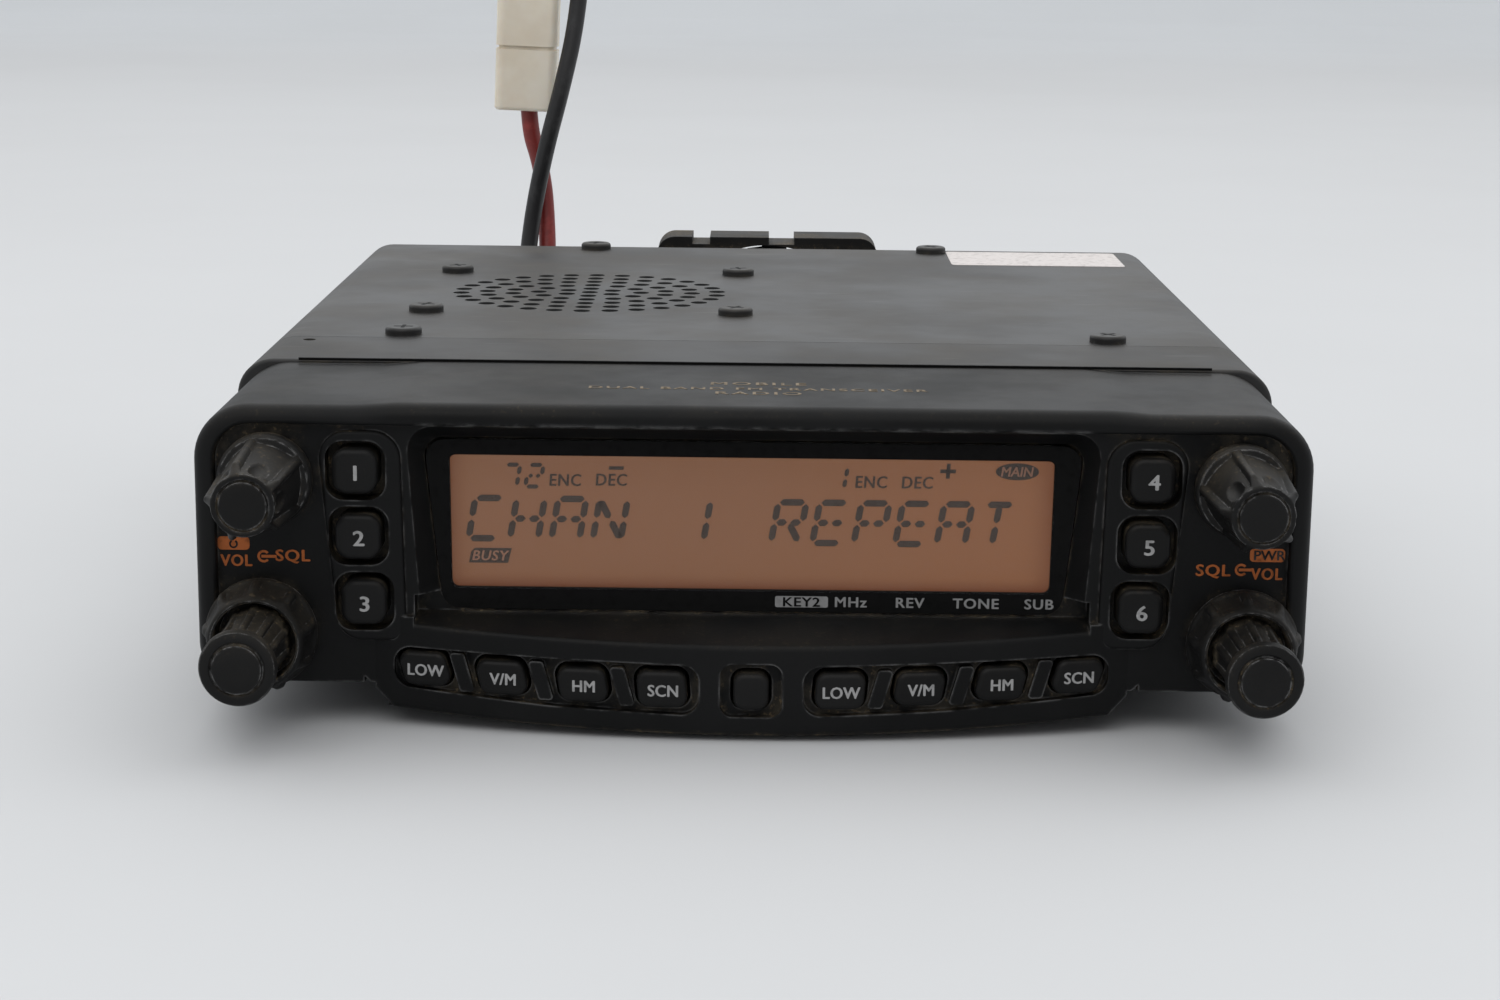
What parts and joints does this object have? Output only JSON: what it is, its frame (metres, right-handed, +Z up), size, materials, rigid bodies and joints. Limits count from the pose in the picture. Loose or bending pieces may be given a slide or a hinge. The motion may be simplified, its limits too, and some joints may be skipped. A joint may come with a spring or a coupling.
{
  "type": "mobile transceiver",
  "caption": "Compact vehicle radio transceiver with a detachable control panel, amber display, round knobs, press keys, top loudspeaker grille, rear fan and supply lead.",
  "frame": {"origin": "on the table under the middle of the radio, measured without its supply lead", "axes": "+X to the right seen from the front, +Y from the panel to the back wall, +Z up"},
  "size_m": [0.14, 0.2224, 0.129],
  "materials": {
    "panel_plastic": "moulded black plastic with a fine grain, worn and dusty",
    "panel_inside": "plain black moulding",
    "knob_rubber": "dusty black rubber-coated knobs",
    "ring_plastic": "dusty black plastic",
    "key_plastic": "black key caps with light legends",
    "lens": "clear acrylic window with a printed black border",
    "display": "amber backlit liquid crystal display",
    "light_guide": "amber light guide",
    "circuit_board": "green lacquered board",
    "components": "dark component bodies",
    "switch_steel": "snap domes",
    "control_metal": "zinc and steel control bodies",
    "shaft_metal": "turned shafts",
    "contact_plastic": "connector moulding",
    "cast_chassis": "aluminium die casting painted satin black",
    "cover_paint": "satin dark grey paint on sheet steel, smudged",
    "screw_black": "blackened steel screws",
    "screw_bright": "plated steel screws",
    "speaker_metal": "pressed steel basket",
    "speaker_paper": "black pulp cone",
    "module": "power amplifier module",
    "fan_plastic": "black fan moulding",
    "socket_nickel": "nickel plated brass, slightly dull",
    "insulator": "white insulator",
    "jack_plastic": "black jack moulding",
    "grommet_rubber": "black rubber",
    "wire_red": "red insulation, dusty",
    "wire_black": "black insulation",
    "nylon": "off-white nylon"
  },
  "bodies": {
    "radio_body": {"chassis": "cast_chassis", "top_cover": "cover_paint", "bottom_cover": "cover_paint", "housing_screws": "screw_black", "speaker_frame": "speaker_metal", "speaker_cone": "speaker_paper", "main_board": "circuit_board", "board_screws": "screw_bright", "board_parts": "components", "rf_module": "module", "fan_frame": "fan_plastic", "antenna_socket": "socket_nickel", "antenna_core": "insulator", "speaker_jack": "jack_plastic", "data_jack": "jack_plastic", "dc_grommet": "grommet_rubber", "mic_jack": "jack_plastic", "contact_plug": "contact_plastic", "lead_red": "wire_red", "lead_black": "wire_black", "fuse_holder": "nylon", "power_plug": "nylon"},
    "front_panel": {"panel_shell": "panel_plastic", "window_lens": "lens", "lcd_glass": "display", "light_guide": "light_guide", "panel_board": "circuit_board", "key_switches": "switch_steel", "panel_back": "panel_inside", "panel_screws": "screw_bright", "contact_block": "contact_plastic", "dial_encoders": "control_metal", "volume_pots": "control_metal"},
    "fan": {"fan_rotor": "fan_plastic"},
    "release": {"release_button": "panel_inside"},
    "dial_stem_left": {"dial_shaft_left": "shaft_metal"},
    "dial_left": {"dial_knob_left": "knob_rubber"},
    "volume_stem_left": {"volume_shaft_left": "shaft_metal"},
    "volume_left": {"volume_knob_left": "knob_rubber"},
    "squelch_left": {"squelch_ring_left": "ring_plastic"},
    "dial_stem_right": {"dial_shaft_right": "shaft_metal"},
    "dial_right": {"dial_knob_right": "knob_rubber"},
    "volume_stem_right": {"volume_shaft_right": "shaft_metal"},
    "volume_right": {"volume_knob_right": "knob_rubber"},
    "squelch_right": {"squelch_ring_right": "ring_plastic"},
    "key_1_cap": {"key_1": "key_plastic"},
    "key_2_cap": {"key_2": "key_plastic"},
    "key_3_cap": {"key_3": "key_plastic"},
    "key_4_cap": {"key_4": "key_plastic"},
    "key_5_cap": {"key_5": "key_plastic"},
    "key_6_cap": {"key_6": "key_plastic"},
    "key_low_left_cap": {"key_low_left": "key_plastic"},
    "key_vm_left_cap": {"key_vm_left": "key_plastic"},
    "key_hm_left_cap": {"key_hm_left": "key_plastic"},
    "key_scan_left_cap": {"key_scan_left": "key_plastic"},
    "key_low_right_cap": {"key_low_right": "key_plastic"},
    "key_vm_right_cap": {"key_vm_right": "key_plastic"},
    "key_hm_right_cap": {"key_hm_right": "key_plastic"},
    "key_scan_right_cap": {"key_scan_right": "key_plastic"},
    "key_set_cap": {"key_set": "key_plastic"}
  },
  "joints": [
    {"name": "panel_release", "type": "slide", "parent": "radio_body", "child": "front_panel", "axis": [0, -1, 0], "range_m": [0, 0.03]},
    {"name": "fan_spin", "type": "hinge", "parent": "radio_body", "child": "fan", "pos_m": [0.0018, 0.09175, 0.0225], "axis": [0, 1, 0], "continuous": true},
    {"name": "release_press", "type": "slide", "parent": "radio_body", "child": "release", "axis": [-1, 0, 0], "range_m": [0, 0.0015], "stiffness_N_per_m": 800},
    {"name": "dial_left_push", "type": "slide", "parent": "front_panel", "child": "dial_stem_left", "axis": [0, 1, 0], "range_m": [0, 0.0005], "stiffness_N_per_m": 3000},
    {"name": "dial_left_turn", "type": "hinge", "parent": "dial_stem_left", "child": "dial_left", "pos_m": [-0.0606, -0.08925, 0.0319], "axis": [0, 1, 0], "continuous": true},
    {"name": "volume_left_push", "type": "slide", "parent": "front_panel", "child": "volume_stem_left", "axis": [0, 1, 0], "range_m": [0, 0.0005], "stiffness_N_per_m": 3000},
    {"name": "volume_left_turn", "type": "hinge", "parent": "volume_stem_left", "child": "volume_left", "pos_m": [-0.0614, -0.09125, 0.0124], "axis": [0, 1, 0], "range_deg": [-145, 145]},
    {"name": "squelch_left_turn", "type": "hinge", "parent": "front_panel", "child": "squelch_left", "pos_m": [-0.0614, -0.08425, 0.0124], "axis": [0, 1, 0], "range_deg": [-145, 145]},
    {"name": "dial_right_push", "type": "slide", "parent": "front_panel", "child": "dial_stem_right", "axis": [0, 1, 0], "range_m": [0, 0.0005], "stiffness_N_per_m": 3000},
    {"name": "dial_right_turn", "type": "hinge", "parent": "dial_stem_right", "child": "dial_right", "pos_m": [0.0606, -0.08925, 0.0319], "axis": [0, 1, 0], "continuous": true},
    {"name": "volume_right_push", "type": "slide", "parent": "front_panel", "child": "volume_stem_right", "axis": [0, 1, 0], "range_m": [0, 0.0005], "stiffness_N_per_m": 3000},
    {"name": "volume_right_turn", "type": "hinge", "parent": "volume_stem_right", "child": "volume_right", "pos_m": [0.0614, -0.09125, 0.0124], "axis": [0, 1, 0], "range_deg": [-145, 145]},
    {"name": "squelch_right_turn", "type": "hinge", "parent": "front_panel", "child": "squelch_right", "pos_m": [0.0614, -0.08425, 0.0124], "axis": [0, 1, 0], "range_deg": [-145, 145]},
    {"name": "key_1_press", "type": "slide", "parent": "front_panel", "child": "key_1_cap", "axis": [0, 1, 0], "range_m": [0, 0.0005], "stiffness_N_per_m": 2000},
    {"name": "key_2_press", "type": "slide", "parent": "front_panel", "child": "key_2_cap", "axis": [0, 1, 0], "range_m": [0, 0.0005], "stiffness_N_per_m": 2000},
    {"name": "key_3_press", "type": "slide", "parent": "front_panel", "child": "key_3_cap", "axis": [0, 1, 0], "range_m": [0, 0.0005], "stiffness_N_per_m": 2000},
    {"name": "key_4_press", "type": "slide", "parent": "front_panel", "child": "key_4_cap", "axis": [0, 1, 0], "range_m": [0, 0.0005], "stiffness_N_per_m": 2000},
    {"name": "key_5_press", "type": "slide", "parent": "front_panel", "child": "key_5_cap", "axis": [0, 1, 0], "range_m": [0, 0.0005], "stiffness_N_per_m": 2000},
    {"name": "key_6_press", "type": "slide", "parent": "front_panel", "child": "key_6_cap", "axis": [0, 1, 0], "range_m": [0, 0.0005], "stiffness_N_per_m": 2000},
    {"name": "key_low_left_press", "type": "slide", "parent": "front_panel", "child": "key_low_left_cap", "axis": [0, 1, 0], "range_m": [0, 0.0005], "stiffness_N_per_m": 2000},
    {"name": "key_vm_left_press", "type": "slide", "parent": "front_panel", "child": "key_vm_left_cap", "axis": [0, 1, 0], "range_m": [0, 0.0005], "stiffness_N_per_m": 2000},
    {"name": "key_hm_left_press", "type": "slide", "parent": "front_panel", "child": "key_hm_left_cap", "axis": [0, 1, 0], "range_m": [0, 0.0005], "stiffness_N_per_m": 2000},
    {"name": "key_scan_left_press", "type": "slide", "parent": "front_panel", "child": "key_scan_left_cap", "axis": [0, 1, 0], "range_m": [0, 0.0005], "stiffness_N_per_m": 2000},
    {"name": "key_low_right_press", "type": "slide", "parent": "front_panel", "child": "key_low_right_cap", "axis": [0, 1, 0], "range_m": [0, 0.0005], "stiffness_N_per_m": 2000},
    {"name": "key_vm_right_press", "type": "slide", "parent": "front_panel", "child": "key_vm_right_cap", "axis": [0, 1, 0], "range_m": [0, 0.0005], "stiffness_N_per_m": 2000},
    {"name": "key_hm_right_press", "type": "slide", "parent": "front_panel", "child": "key_hm_right_cap", "axis": [0, 1, 0], "range_m": [0, 0.0005], "stiffness_N_per_m": 2000},
    {"name": "key_scan_right_press", "type": "slide", "parent": "front_panel", "child": "key_scan_right_cap", "axis": [0, 1, 0], "range_m": [0, 0.0005], "stiffness_N_per_m": 2000},
    {"name": "key_set_press", "type": "slide", "parent": "front_panel", "child": "key_set_cap", "axis": [0, 1, 0], "range_m": [0, 0.0005], "stiffness_N_per_m": 2000}
  ]
}
